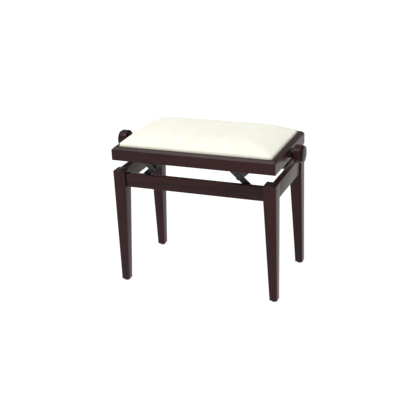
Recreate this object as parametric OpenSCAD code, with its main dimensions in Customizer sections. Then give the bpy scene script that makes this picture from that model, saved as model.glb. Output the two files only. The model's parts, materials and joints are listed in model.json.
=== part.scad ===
// Height-adjustable piano bench: a four-legged base, a lifting linkage driven by one
// spindle, and an upholstered seat frame.
// Origin: on the floor, under the middle of the base. X runs along the bench, Y towards
// the back and Z up. Millimetres. The seat is drawn at its rest height.

/* [Seat frame] */
// Length of the seat frame, and of the base under it
seat_length = 550; // [460:1:680]
// Depth of the seat frame, and of the base under it
seat_depth = 321; // [265:1:400]
// Height of the seat frame's rails
seat_rail_height = 43.5; // [42:0.5:60]
// Thickness of the seat frame's rails
seat_rail_thickness = 24; // [20:0.5:30]
// Chamfer along the top outer edge of the seat frame
seat_chamfer = 8; // [2:0.5:12]
// Width of the border around the cushion, chamfer included
border_width = 17.5; // [14:0.5:18]
// Depth of the rebate that the cushion board sits in
rebate_depth = 10; // [8:0.5:12]
// Leg length of the glued blocks in the corners of the seat frame
seat_block_size = 22; // [15:1:28]

/* [Cushion] */
// Thickness of the cushion board
board_thickness = 9; // [6:0.5:12]
// Thickness of the cover cloth
cover_thickness = 1.2; // [0.6:0.1:2]
// Gap between the cover and the frame around it
cushion_gap = 0.5; // [0.3:0.1:2]
// Height of the cushion's edge above the frame
cushion_edge = 10; // [2:0.5:15]
// Rise of the cushion's crown above its edge
cushion_crown = 24; // [6:0.5:30]
// Width of the cushion's sloping edge
cushion_slope = 60; // [45:5:100]

/* [Base] */
// Height of the leg tops above the floor
base_height = 397; // [330:1:480]
// Width of a leg at its top
leg_top = 41; // [34:0.5:50]
// Width of a leg at its foot
leg_foot = 25.5; // [20:0.5:32]
// Length of a leg's square top, above its taper
leg_square = 56; // [50:1:90]
// Easing of the edges of legs and rails
edge_ease = 1.2; // [0.5:0.1:3]
// Height of the front and rear rails
long_rail_height = 45; // [38:0.5:60]
// Thickness of the front and rear rails
long_rail_thickness = 19.5; // [16:0.5:24]
// Step from the leg faces back to the front and rear rails
long_rail_recess = 5.5; // [0:0.5:8]
// Step from the leg tops down to the front and rear rails
long_rail_drop = 8.3; // [0:0.1:15]
// Height of the end rails
end_rail_height = 52; // [38:0.5:60]
// Thickness of the end rails
end_rail_thickness = 20; // [16:0.5:24]
// Step from the leg faces back to the end rails
end_rail_recess = 4; // [0:0.5:8]
// Step from the leg tops down to the end rails
end_rail_drop = 3; // [0:0.1:15]
// Diameter of the dowels between rails and legs
dowel_diameter = 8; // [6:1:10]
// Length of a dowel
dowel_length = 30; // [20:1:36]
// Leg length of the glued blocks beside the legs
glue_block_size = 16; // [10:1:18]
// Diameter of the glides
glide_diameter = 20; // [14:1:24]
// Height of a glide below the foot
glide_height = 5; // [3:0.5:8]

/* [Linkage] */
// Gap between leg tops and seat frame at the rest height
rest_gap = 36; // [20:1:45]
// Pivot to pivot length of a long arm
arm_length = 143.5; // [138:0.5:160]
// Width of the flat arms
arm_width = 20; // [16:1:24]
// Thickness of the flat arms
arm_thickness = 4; // [3:0.5:5]
// Gap between a long arm and its short arm
arm_gap = 1; // [0.5:0.1:2]
// Gap between the outer arms and the bracket plates
side_gap = 0.5; // [0.3:0.1:2]
// Gap between a bracket plate and the glued block beside it
bracket_gap = 1; // [0.5:0.5:5]
// Distance of the lower pivots below the leg tops
pivot_drop = 40; // [35:1:44]
// Height of the spindle and the upper pivots above the seat frame's underside
spindle_rise = 20; // [18:0.5:22]
// Diameter of the pivot pins
pin_diameter = 10; // [8:1:12]
// Diameter of the cross bars at the arms' middles and of the nuts' trunnions
bar_diameter = 12; // [10:1:14]
// Diametral play of the turning joints
play = 0.1; // [0.06:0.02:0.18]
// Thickness of the bracket plates
plate_thickness = 3; // [2:0.5:3]
// Thickness of the retaining rings
ring_thickness = 1; // [0.8:0.1:1.2]

/* [Spindle] */
// Diameter of the spindle
spindle_diameter = 12; // [10:0.5:14]
// Length of a nut along the spindle
nut_length = 30; // [20:1:36]
// Width of a nut across the spindle
nut_width = 26; // [24:1:32]
// Height of a nut
nut_height = 22; // [20:1:24]
// Diameter of the bushes in the end rails of the seat frame
bush_diameter = 20; // [16:1:24]
// Diameter of the bushes' outer flanges
bush_flange = 32; // [26:1:36]
// Thickness of the bushes' outer flanges
bush_flange_thickness = 2.5; // [1.5:0.5:4]
// Diameter of the collars that hold the spindle endways
collar_diameter = 22; // [18:1:26]
// Length of the collars
collar_length = 8; // [6:1:12]
// Endways gap between turning and fixed faces
end_gap = 0.5; // [0.3:0.1:1]

/* [Knobs] */
// Diameter of a knob's hub
knob_diameter = 59; // [50:1:62]
// Length of a knob's neck
neck_length = 10; // [6:1:16]
// Diameter of a knob's neck
neck_diameter = 34; // [28:1:44]
// Length of a knob's hub
hub_length = 25; // [18:1:32]
// Diameter of a knob's end disc
disc_diameter = 52; // [40:1:56]
// Length of a knob's end disc with its groove
disc_length = 6; // [4:0.5:10]
// Rise of the domed end
dome_rise = 3; // [1:0.5:6]
// Depth of the spindle's socket in a knob
socket_depth = 30; // [20:1:34]

/* [Hidden] */
$fn = 64;
eps = 0.01;

wood = "#3a2626";
steel = "#26282a";
zinc = "#9a9c9a";
brass_like = "#a08c50";
ivory = "#f4f2e2";
raw_wood = "#c8a878";

// Heights
seat_bottom = base_height + rest_gap;
seat_top = seat_bottom + seat_rail_height;
spindle_z = seat_bottom + spindle_rise;
pivot_z = base_height - pivot_drop;
long_rail_top = base_height - long_rail_drop;
long_rail_bottom = long_rail_top - long_rail_height;
end_rail_top = base_height - end_rail_drop;
end_rail_bottom = end_rail_top - end_rail_height;

// Half sizes in plan
half_x = seat_length / 2;
half_y = seat_depth / 2;
leg_x = half_x - leg_top;
leg_y = half_y - leg_top;
long_rail_out = half_y - long_rail_recess;
long_rail_in = long_rail_out - long_rail_thickness;
end_rail_out = half_x - end_rail_recess;
end_rail_in = end_rail_out - end_rail_thickness;
seat_in_x = half_x - seat_rail_thickness;
seat_in_y = half_y - seat_rail_thickness;
opening_x = half_x - border_width;
opening_y = half_y - border_width;
rebate_z = seat_top - rebate_depth;

// Screws
screw_diameter = 4;
screw_head = 8;
screw_length = 15;
board_screw_length = 22;
pilot_play = 0.2;
base_plate = [34, 40];
seat_plate = [40, 24];
plate_corner = 3;
// Screw places, from a plate's pivot
base_screws = [[-11, 20], [11, 20]];
seat_screws = [[-14, 0], [14, 0]];
base_plate_below = 12;

// Linkage: the arm's slope at rest, and its three pivots on the right hand side
arm_angle = asin((spindle_z - pivot_z) / arm_length);
pivot_x = min(leg_x - glue_block_size - base_plate.x / 2,
    seat_in_x - seat_block_size - seat_plate.x / 2) - bracket_gap;
middle_x = pivot_x - arm_length / 2 * cos(arm_angle);
middle_z = (pivot_z + spindle_z) / 2;
nut_x = pivot_x - arm_length * cos(arm_angle);

// Linkage layers, measured from the middle of the bench outwards
plates_y = min(long_rail_in, seat_in_y) - plate_thickness;
short_out = plates_y - side_gap;
short_in = short_out - arm_thickness;
long_out = short_in - arm_gap;
long_in = long_out - arm_thickness;

// Cleats under the ends of the cushion board
cleat_width = 16;
cleat_height = 16;
cleat_length = 70;
soft_gap = 0.3;

// Knobs
washer_thickness = 1.5;
washer_diameter = 26;
flange_x = half_x + bush_flange_thickness;
washer_x = flange_x + end_gap;
knob_x = washer_x + washer_thickness;
hub_round = 3;
groove_width = 2;
groove_depth = 4;
disc_round = 1.5;
set_screw_diameter = 5;
set_screw_length = (neck_diameter - spindle_diameter) / 2 - 1;
set_screw_x = knob_x + neck_length / 2;

// Points of an arc around c, from angle a to angle b
function arc(c, r, a, b, n = 8) =
    [for (i = [0:n]) c + r * [cos(a + (b - a) * i / n), sin(a + (b - a) * i / n)]];

// Copies a front child to the rear as well
module front_and_rear() {
    children();
    mirror([0, 1, 0]) children();
}

// Copies a right hand child to the left as well
module both_ends() {
    children();
    mirror([1, 0, 0]) children();
}

// Rod along Y from y0 to y1
module rod_y(d, y0, y1) {
    translate([0, y0, 0]) rotate([-90, 0, 0]) cylinder(d = d, h = y1 - y0);
}

// Rod along X from x0 to x1
module rod_x(d, x0, x1) {
    translate([x0, 0, 0]) rotate([0, 90, 0]) cylinder(d = d, h = x1 - x0);
}

// Ring along Y from y0 to y1
module ring_y(outer, inner, y0, y1) {
    difference() {
        rod_y(outer, y0, y1);
        rod_y(inner, y0 - eps, y1 + eps);
    }
}

// Countersunk screw in a plate whose open face is at z = 0, pointing along -Z
module screw(d, head, length) {
    sink = (head - d) / 2;
    translate([0, 0, -sink]) cylinder(d1 = d, d2 = head, h = sink);
    translate([0, 0, -length]) cylinder(d = d, h = length - sink + eps);
}

// Rectangle from a to b with eased corners
module eased_rect(a, b, ease) {
    polygon([
        [a.x + ease, a.y], [b.x - ease, a.y], [b.x, a.y + ease], [b.x, b.y - ease],
        [b.x - ease, b.y], [a.x + ease, b.y], [a.x, b.y - ease], [a.x, a.y + ease],
    ]);
}

/* ---- Base ---- */

// Front right leg, tapered on the two faces that look inwards
module leg() {
    taper_z = base_height - leg_square;
    // Side outline, with u the distance inwards from the outer face
    side = [
        [0, glide_height], [leg_foot, glide_height], [leg_top, taper_z],
        [leg_top, base_height], [0, base_height],
    ];
    along_x = [for (p = side) [half_x - p.x, p.y]];
    along_y = [for (p = side) [-half_y + p.x, p.y]];
    difference() {
        intersection() {
            rotate([90, 0, 0]) linear_extrude(2 * half_y) polygon(along_x);
            rotate([90, 0, 90]) linear_extrude(half_x) polygon(along_y);
            translate([0, 0, glide_height]) linear_extrude(base_height)
                eased_rect([leg_x, -half_y], [half_x, -leg_y], edge_ease);
        }
        dowel_places() rod_hole();
        glide_place() cylinder(d = glide_pin + pilot_play, h = glide_pin_length + 1);
    }
}

module leg_front_right() { color(wood) leg(); }
module leg_front_left() { color(wood) mirror([1, 0, 0]) leg(); }
module leg_rear_right() { color(wood) mirror([0, 1, 0]) leg(); }
module leg_rear_left() { color(wood) mirror([1, 0, 0]) mirror([0, 1, 0]) leg(); }

// Puts a child at the middle of each dowel of the front right leg, along Z before turning
module dowel_places() {
    long_y = -(long_rail_out + long_rail_in) / 2;
    end_x = (end_rail_out + end_rail_in) / 2;
    for (up = [-1, 1]) {
        long_z = (long_rail_top + long_rail_bottom) / 2 + up * long_rail_height / 4;
        end_z = (end_rail_top + end_rail_bottom) / 2 + up * end_rail_height / 4;
        // The upper and lower dowels of one rail stand clear of those of the other
        translate([leg_x, long_y, long_z - 3]) rotate([0, 90, 0]) children();
        translate([end_x, -leg_y, end_z + 4]) rotate([90, 0, 0]) children();
    }
}

module rod_hole() {
    cylinder(d = dowel_diameter + pilot_play, h = dowel_length + 1, center = true);
}

module rail_dowels() {
    color(raw_wood) both_ends() front_and_rear() dowel_places()
        cylinder(d = dowel_diameter, h = dowel_length, center = true);
}

// Front rail of the base, with the screw holes of its two brackets
module long_base_rail() {
    difference() {
        translate([-leg_x, 0, 0]) rotate([90, 0, 90]) linear_extrude(2 * leg_x)
            eased_rect([-long_rail_out, long_rail_bottom], [-long_rail_in, long_rail_top],
                edge_ease);
        both_ends() dowel_places() rod_hole();
        both_ends() base_screw_places() screw_hole();
    }
}

module base_rail_front() { color(wood) long_base_rail(); }
module base_rail_rear() { color(wood) mirror([0, 1, 0]) long_base_rail(); }

// Right hand end rail of the base
module end_base_rail() {
    difference() {
        translate([0, leg_y, 0]) rotate([90, 0, 0]) linear_extrude(2 * leg_y)
            eased_rect([end_rail_in, end_rail_bottom], [end_rail_out, end_rail_top],
                edge_ease);
        front_and_rear() dowel_places() rod_hole();
    }
}

module base_rail_right() { color(wood) end_base_rail(); }
module base_rail_left() { color(wood) mirror([1, 0, 0]) end_base_rail(); }

// Triangular blocks glued between each leg and the rails beside it
module glue_blocks() {
    z0 = long_rail_bottom + 4;
    height = long_rail_height - 10;
    s = glue_block_size;
    color(wood) both_ends() front_and_rear() translate([0, 0, z0])
        linear_extrude(height) {
            polygon([[leg_x, -long_rail_in], [leg_x - s, -long_rail_in],
                [leg_x, -long_rail_in + s]]);
            polygon([[end_rail_in, -leg_y], [end_rail_in, -leg_y + s],
                [end_rail_in - s, -leg_y]]);
        }
}

glide_pin = 4;
glide_pin_length = 16;
glide_ease = 1.5;

// Middle of the front right foot
module glide_place() {
    translate([half_x - leg_foot / 2, -half_y + leg_foot / 2, glide_height]) children();
}

module foot_glides() {
    r = glide_diameter / 2;
    color("#1c1a1a") both_ends() front_and_rear() glide_place() rotate_extrude()
        polygon([
            [0, -glide_height], [r - glide_ease, -glide_height],
            [r, -glide_height + glide_ease], [r, 0], [glide_pin / 2, 0],
            [glide_pin / 2, glide_pin_length], [0, glide_pin_length],
        ]);
}

/* ---- Brackets ---- */

// Plate in the XZ plane from y to y + plate_thickness, with its pivot hole
module bracket(size, below, screws, x, z, y) {
    translate([x, y + plate_thickness, z]) rotate([90, 0, 0]) difference() {
        linear_extrude(plate_thickness) difference() {
            eased_rect([-size.x / 2, -below], [size.x / 2, size.y - below], plate_corner);
            circle(d = pin_diameter);
        }
        for (p = screws) translate([p.x, p.y, 0]) mirror([0, 0, 1])
            screw(screw_diameter, screw_head, screw_length);
    }
}

// Turns a child from -Z to the front (-Y), at the open face of a front bracket
module base_screw_places() {
    for (p = base_screws)
        translate([pivot_x + p.x, -long_rail_in + plate_thickness, pivot_z + p.y])
            rotate([-90, 0, 0]) children();
}

module seat_screw_places() {
    for (p = seat_screws)
        translate([pivot_x + p.x, -seat_in_y + plate_thickness, spindle_z + p.y])
            rotate([-90, 0, 0]) children();
}

module screw_hole() {
    translate([0, 0, -screw_length - 1])
        cylinder(d = screw_diameter + pilot_play, h = screw_length + 1);
}

module base_brackets() {
    color(steel) both_ends() front_and_rear() bracket(base_plate, base_plate_below,
        base_screws, pivot_x, pivot_z, -long_rail_in);
}

module seat_brackets() {
    color(steel) both_ends() front_and_rear() bracket(seat_plate, seat_plate.y / 2,
        seat_screws, pivot_x, spindle_z, -seat_in_y);
}

module base_bracket_screws() {
    color(zinc) both_ends() front_and_rear() base_screw_places()
        screw(screw_diameter, screw_head, screw_length);
}

module seat_bracket_screws() {
    color(zinc) both_ends() front_and_rear() seat_screw_places()
        screw(screw_diameter, screw_head, screw_length);
}

// Pin riveted into a front plate whose back is at wall_y; its shoulder ends beside the
// arm at arm_y, and its end is at end_y
shoulder_diameter = 16;
shoulder_gap = 0.3;
module shoulder_pin(wall_y, arm_y, end_y) {
    rod_y(pin_diameter, wall_y, end_y);
    rod_y(shoulder_diameter, wall_y + plate_thickness, arm_y - shoulder_gap);
}

ring_gap = 0.2;
ring_rim = 3;
// Length that a pin or bar stands out past the arm that its ring holds
ring_seat = 2 * ring_gap + ring_thickness;

module base_pivot_pins() {
    color(steel) both_ends() front_and_rear() translate([pivot_x, 0, pivot_z])
        shoulder_pin(-long_rail_in, -long_out, -long_in + ring_seat);
}

module seat_pivot_pins() {
    color(steel) both_ends() front_and_rear() translate([pivot_x, 0, spindle_z])
        shoulder_pin(-seat_in_y, -short_out, -short_in + ring_seat);
}

// Retaining ring on a rod along Y, just past a face at y
module retaining_ring(rod, y) {
    ring_y(rod + 2 * ring_rim, rod, y + ring_gap, y + ring_gap + ring_thickness);
}

module base_pin_rings() {
    color(steel) both_ends() front_and_rear() translate([pivot_x, 0, pivot_z])
        retaining_ring(pin_diameter, -long_in);
}

module seat_pin_rings() {
    color(steel) both_ends() front_and_rear() translate([pivot_x, 0, spindle_z])
        retaining_ring(pin_diameter, -short_in);
}

/* ---- Linkage ---- */

// Flat arm in the XZ plane between y and y + arm_thickness: holes lists each hole's
// distance along the arm and its diameter, and the last one is at the far end
module flat_arm(x, z, angle, y, holes) {
    length = holes[len(holes) - 1][0];
    translate([x, y + arm_thickness, z]) rotate([90, 0, 0]) rotate(angle)
        linear_extrude(arm_thickness) difference() {
            union() {
                circle(d = arm_width);
                translate([0, -arm_width / 2]) square([length, arm_width]);
                translate([length, 0]) circle(d = arm_width);
            }
            for (h = holes) translate([h[0], 0]) circle(d = h[1]);
        }
}

module long_arm() {
    color(steel) flat_arm(pivot_x, pivot_z, 180 - arm_angle, -long_out, [
        [0, pin_diameter + play],
        [arm_length / 2, bar_diameter],
        [arm_length, bar_diameter + play],
    ]);
}

module short_arm() {
    color(steel) flat_arm(middle_x, middle_z, arm_angle, -short_out, [
        [0, bar_diameter + play],
        [arm_length / 2, pin_diameter + play],
    ]);
}

module middle_bar() {
    bar_end = short_out + ring_seat;
    color(steel) translate([middle_x, 0, middle_z]) rod_y(bar_diameter, -bar_end, bar_end);
}

module middle_rings() {
    color(steel) front_and_rear() translate([middle_x, 0, middle_z])
        retaining_ring(bar_diameter, short_out);
}

// Nut block with its two trunnions and its bore for the spindle
module spindle_nut() {
    trunnion = long_out + ring_seat;
    ease = 2;
    color(brass_like) translate([nut_x, 0, spindle_z]) difference() {
        union() {
            rod_y(bar_diameter, -trunnion, trunnion);
            translate([0, nut_width / 2, 0]) rotate([90, 0, 0]) linear_extrude(nut_width)
                eased_rect([-nut_length / 2, -nut_height / 2],
                    [nut_length / 2, nut_height / 2], ease);
        }
        rod_x(spindle_diameter + play, -nut_length, nut_length);
    }
}

module nut_rings() {
    color(steel) front_and_rear() translate([nut_x, 0, spindle_z])
        retaining_ring(bar_diameter, long_out);
}

module long_arm_front_right() long_arm();
module long_arm_rear_right() mirror([0, 1, 0]) long_arm();
module short_arm_front_right() short_arm();
module short_arm_rear_right() mirror([0, 1, 0]) short_arm();
module middle_bar_right() middle_bar();
module middle_rings_right() middle_rings();
module spindle_nut_right() spindle_nut();
module nut_rings_right() nut_rings();
module long_arm_front_left() mirror([1, 0, 0]) long_arm();
module long_arm_rear_left() mirror([1, 0, 0]) mirror([0, 1, 0]) long_arm();
module short_arm_front_left() mirror([1, 0, 0]) short_arm();
module short_arm_rear_left() mirror([1, 0, 0]) mirror([0, 1, 0]) short_arm();
module middle_bar_left() mirror([1, 0, 0]) middle_bar();
module middle_rings_left() mirror([1, 0, 0]) middle_rings();
module spindle_nut_left() mirror([1, 0, 0]) spindle_nut();
module nut_rings_left() mirror([1, 0, 0]) nut_rings();

/* ---- Seat frame ---- */

// Section of a seat rail: first number inwards from its outer face, second number height
function seat_section() = [
    [edge_ease, seat_bottom], [0, seat_bottom + edge_ease],
    [0, seat_top - seat_chamfer], [seat_chamfer, seat_top],
    [border_width, seat_top], [border_width, rebate_z],
    [seat_rail_thickness, rebate_z], [seat_rail_thickness, seat_bottom],
];

// Rail on the -Y side of a frame of the given half sizes, mitred at both ends
module mitred_rail(half_length, half_width) {
    reach = 1.5 * seat_rail_thickness;
    intersection() {
        translate([-half_length, 0, 0]) rotate([90, 0, 90])
            linear_extrude(2 * half_length)
                polygon([for (p = seat_section()) [p.x - half_width, p.y]]);
        linear_extrude(2 * seat_top) polygon([
            [-half_length, -half_width], [half_length, -half_width],
            [half_length - reach, -half_width + reach],
            [-half_length + reach, -half_width + reach],
        ]);
    }
}

module long_seat_rail() {
    difference() {
        mitred_rail(half_x, half_y);
        both_ends() seat_screw_places() screw_hole();
    }
}

module end_seat_rail() {
    difference() {
        rotate(90) mitred_rail(half_y, half_x);
        translate([0, 0, spindle_z]) rod_x(bush_diameter, seat_in_x - 1, half_x + 1);
    }
}

module seat_rail_front() { color(wood) long_seat_rail(); }
module seat_rail_rear() { color(wood) mirror([0, 1, 0]) long_seat_rail(); }
module seat_rail_right() { color(wood) end_seat_rail(); }
module seat_rail_left() { color(wood) mirror([1, 0, 0]) end_seat_rail(); }

module seat_corner_blocks() {
    s = seat_block_size;
    inset = 3;
    color(wood) both_ends() front_and_rear()
        translate([0, 0, seat_bottom + inset])
            linear_extrude(rebate_z - seat_bottom - 2 * inset)
                polygon([[seat_in_x, -seat_in_y], [seat_in_x - s, -seat_in_y],
                    [seat_in_x, -seat_in_y + s]]);
}

/* ---- Cushion ---- */

cushion_x = opening_x - cushion_gap;
cushion_y = opening_y - cushion_gap;
board_z = rebate_z + cover_thickness;
foam_z = board_z + board_thickness;
crown_z = seat_top + cushion_edge + cushion_crown;
// Radius of the arc that falls by the crown's rise over the width of the slope
slope_radius = (cushion_slope * cushion_slope + cushion_crown * cushion_crown) / (2 * cushion_crown);

// Section of the cushion across the given half width, inset all round, standing on z0
module pillow_section(half, inset, z0) {
    intersection() {
        translate([inset - half, z0]) square([2 * (half - inset), crown_z - inset - z0]);
        union() {
            translate([cushion_slope - half, z0])
                square([2 * (half - cushion_slope), crown_z - inset - z0]);
            for (side = [-1, 1])
                translate([side * (half - cushion_slope), crown_z - slope_radius])
                    circle(r = slope_radius - inset, $fn = 720);
        }
    }
}

// Crowned block, inset all round and on top, standing on z0
module pillow(inset, z0) {
    intersection() {
        rotate([90, 0, 0]) linear_extrude(2 * (cushion_y - inset), center = true)
            pillow_section(cushion_x, inset, z0);
        rotate([90, 0, 90]) linear_extrude(2 * (cushion_x - inset), center = true)
            pillow_section(cushion_y, inset, z0);
    }
}

module cushion_foam() { color(ivory) pillow(cover_thickness + soft_gap, foam_z); }

// Cover drawn over the foam and the board, with a hem turned under the board's edge
module cushion_cover() {
    hem = seat_rail_thickness - border_width - 2 * cushion_gap;
    a = [cushion_x - hem, cushion_y - hem];
    color(ivory) difference() {
        pillow(0, rebate_z);
        pillow(cover_thickness, board_z);
        translate([-a.x, -a.y, rebate_z - 1])
            cube([2 * a.x, 2 * a.y, board_z - rebate_z + 1]);
    }
}

cleat_y = seat_in_y - seat_block_size - 4;

// Puts a child under the middle of the front right cleat, at its lower face
module cleat_screw_place() {
    translate([seat_in_x - cleat_width / 2, -cleat_y + cleat_length / 2,
        board_z - cleat_height]) mirror([0, 0, 1]) children();
}

module cushion_board() {
    color(raw_wood) difference() {
        translate([-cushion_x + cover_thickness, -cushion_y + cover_thickness, board_z])
            cube([2 * (cushion_x - cover_thickness), 2 * (cushion_y - cover_thickness),
                board_thickness]);
        both_ends() front_and_rear() cleat_screw_place()
            translate([0, 0, -board_screw_length - 0.5])
                cylinder(d = screw_diameter + pilot_play, h = board_screw_length);
    }
}

module board_cleats() {
    color(raw_wood) both_ends() front_and_rear() difference() {
        translate([seat_in_x - cleat_width, -cleat_y, board_z - cleat_height])
            cube([cleat_width, cleat_length, cleat_height]);
        cleat_screw_place() screw(screw_diameter, screw_head, board_screw_length);
    }
}

module board_screws() {
    color(zinc) both_ends() front_and_rear() cleat_screw_place()
        screw(screw_diameter, screw_head, board_screw_length);
}

/* ---- Spindle and knobs ---- */

module spindle_bushes() {
    color(steel) both_ends() translate([0, 0, spindle_z]) difference() {
        union() {
            rod_x(bush_diameter, seat_in_x, half_x + eps);
            rod_x(bush_flange, half_x, flange_x);
        }
        rod_x(spindle_diameter + play, seat_in_x - 1, flange_x + 1);
    }
}

module spindle() {
    color(zinc) translate([0, 0, spindle_z])
        rod_x(spindle_diameter, -knob_x - socket_depth, knob_x + socket_depth);
}

// Ring on the spindle from x0 to x1
module spindle_ring(d, x0, x1) {
    translate([0, 0, spindle_z]) difference() {
        rod_x(d, x0, x1);
        rod_x(spindle_diameter, x0 - eps, x1 + eps);
    }
}

module spindle_collars() {
    x1 = seat_in_x - end_gap;
    color(zinc) both_ends() spindle_ring(collar_diameter, x1 - collar_length, x1);
}

module thrust_washers() {
    color(zinc) both_ends() spindle_ring(washer_diameter, washer_x, knob_x);
}

// Turned outline of a knob: radius, then distance along the axis from the neck's face
function knob_outline() =
    let (
        neck = neck_diameter / 2,
        hub = knob_diameter / 2,
        disc = disc_diameter / 2,
        hub_end = neck_length + hub_length,
        disc_start = hub_end + groove_width,
        disc_end = hub_end + disc_length,
        cove = neck_length / 3,
        face = disc - disc_round,
        dome = (face * face + dome_rise * dome_rise) / (2 * dome_rise),
        dome_angle = asin(face / dome)
    )
    concat(
        [[spindle_diameter / 2, 0], [neck, 0]],
        arc([neck + cove, neck_length - cove], cove, 180, 90),
        arc([hub - hub_round, neck_length + hub_round], hub_round, -90, 0),
        arc([hub - hub_round, hub_end - hub_round], hub_round, 0, 90),
        [[disc - groove_depth, hub_end], [disc - groove_depth, disc_start]],
        arc([face, disc_start + disc_round], disc_round, -90, 0),
        arc([face, disc_end - disc_round], disc_round, 0, 90 - dome_angle),
        arc([0, disc_end + dome_rise - dome], dome, 90 - dome_angle, 90),
        [[0, socket_depth], [spindle_diameter / 2, socket_depth]]
    );

module knob() {
    difference() {
        translate([knob_x, 0, spindle_z]) rotate([0, 90, 0]) rotate_extrude()
            polygon(knob_outline());
        set_screw_place() translate([0, 0, -spindle_diameter / 2])
            cylinder(d = set_screw_diameter, h = neck_diameter);
    }
}

module knob_right() { color(wood) knob(); }
module knob_left() { color(wood) mirror([1, 0, 0]) knob(); }

// Puts a child at the spindle's underside in the right knob's neck, pointing down
module set_screw_place() {
    translate([set_screw_x, 0, spindle_z - spindle_diameter / 2]) mirror([0, 0, 1])
        children();
}

module knob_set_screws() {
    color(steel) both_ends() set_screw_place()
        cylinder(d = set_screw_diameter, h = set_screw_length);
}

leg_front_left();
leg_front_right();
leg_rear_left();
leg_rear_right();
base_rail_front();
base_rail_rear();
base_rail_left();
base_rail_right();
rail_dowels();
glue_blocks();
foot_glides();
base_brackets();
base_bracket_screws();
base_pivot_pins();
base_pin_rings();
long_arm_front_right();
long_arm_rear_right();
middle_bar_right();
middle_rings_right();
short_arm_front_right();
short_arm_rear_right();
long_arm_front_left();
long_arm_rear_left();
middle_bar_left();
middle_rings_left();
short_arm_front_left();
short_arm_rear_left();
spindle_nut_right();
nut_rings_right();
spindle_nut_left();
nut_rings_left();
seat_rail_front();
seat_rail_rear();
seat_rail_left();
seat_rail_right();
seat_corner_blocks();
seat_brackets();
seat_bracket_screws();
seat_pivot_pins();
seat_pin_rings();
board_cleats();
board_screws();
cushion_board();
cushion_foam();
cushion_cover();
spindle_bushes();
spindle();
spindle_collars();
thrust_washers();
knob_left();
knob_right();
knob_set_screws();
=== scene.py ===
"""A height-adjustable piano bench: every visible piece and finish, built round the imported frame."""

import json
import math

import bmesh
import bpy
import numpy as np
from bpy.props import FloatProperty, FloatVectorProperty, PointerProperty, StringProperty
from mathutils import Matrix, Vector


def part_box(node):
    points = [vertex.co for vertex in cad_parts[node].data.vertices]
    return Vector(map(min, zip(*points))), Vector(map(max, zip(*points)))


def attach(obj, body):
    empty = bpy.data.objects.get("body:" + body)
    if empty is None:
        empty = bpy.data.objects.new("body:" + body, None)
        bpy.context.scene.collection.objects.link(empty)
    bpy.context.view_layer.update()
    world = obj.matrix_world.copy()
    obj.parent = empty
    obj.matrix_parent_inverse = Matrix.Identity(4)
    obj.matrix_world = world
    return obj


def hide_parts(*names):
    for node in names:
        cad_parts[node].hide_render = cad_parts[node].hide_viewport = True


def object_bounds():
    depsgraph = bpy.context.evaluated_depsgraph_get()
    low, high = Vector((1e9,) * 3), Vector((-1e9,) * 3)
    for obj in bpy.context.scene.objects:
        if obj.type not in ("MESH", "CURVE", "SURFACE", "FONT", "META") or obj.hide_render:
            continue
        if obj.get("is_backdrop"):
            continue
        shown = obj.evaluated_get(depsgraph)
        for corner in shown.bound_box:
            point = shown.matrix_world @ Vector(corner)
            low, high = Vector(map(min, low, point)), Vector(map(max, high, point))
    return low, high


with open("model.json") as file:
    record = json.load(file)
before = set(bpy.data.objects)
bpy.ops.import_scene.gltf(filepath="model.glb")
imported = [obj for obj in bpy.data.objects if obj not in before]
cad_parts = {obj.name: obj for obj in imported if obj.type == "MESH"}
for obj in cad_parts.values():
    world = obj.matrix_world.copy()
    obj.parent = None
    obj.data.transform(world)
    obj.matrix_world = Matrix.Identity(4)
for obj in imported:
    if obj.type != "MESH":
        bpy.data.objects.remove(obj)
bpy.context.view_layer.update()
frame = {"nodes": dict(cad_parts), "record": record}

bl_info = {
    "name": "Piano Bench",
    "version": (1, 0, 0),
    "blender": (4, 5, 0),
    "location": "View3D > Sidebar > Bench",
    "description": "Builds a height-adjustable piano bench round its mechanical frame",
    "category": "Add Mesh",
}

MM = 0.001
WAVE = 0.314             # scale of a wave texture whose bands repeat every metre
NODES = frame["nodes"]
BODY_OF = {node: body for body, nodes in frame["record"]["behaviour"]["bodies"].items() for node in nodes}
ENDS = {"left": -1, "right": 1}
SIDES = {"front": -1, "rear": 1}


# ---------------------------------------------------------------- settings


def length(name, description, default, least, most):
    """Setting for a length, its default and its limits given in millimetres."""
    return FloatProperty(name=name, description=description, default=default * MM, min=least * MM,
                         max=most * MM, unit="LENGTH", precision=4)


class BenchWoodSettings(bpy.types.PropertyGroup):
    stain: StringProperty(name="Stain", description="Colour of the stained beech, sRGB", default="#321618")
    grain: StringProperty(name="Grain", description="Colour of the darker grain lines, sRGB",
                          default="#1D0D0E")
    sheen_roughness: FloatProperty(name="Lacquer roughness", description="Roughness of the satin lacquer",
                                   default=0.3, min=0.05, max=1.0)
    grain_width: length("Grain width", "Width of one band of grain", 2.6, 0.5, 20)
    edge_radius: length("Edge radius", "Rounding of the sanded edges", 1.4, 0.2, 4)
    foot_width: length("Foot width", "Width of a leg at the floor", 25.5, 15, 40)
    square_top: length("Square top", "Length of a leg above its taper", 56, 20, 100)
    chamfer: length("Chamfer", "Chamfer along the seat frame's upper edge", 8, 1, 12)
    border: length("Border", "Width of the seat frame that shows round the cushion", 17.5, 12, 22)
    bush_hole: length("Bush hole", "Diameter of the hole for a spindle bush", 20, 14, 26)


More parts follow.
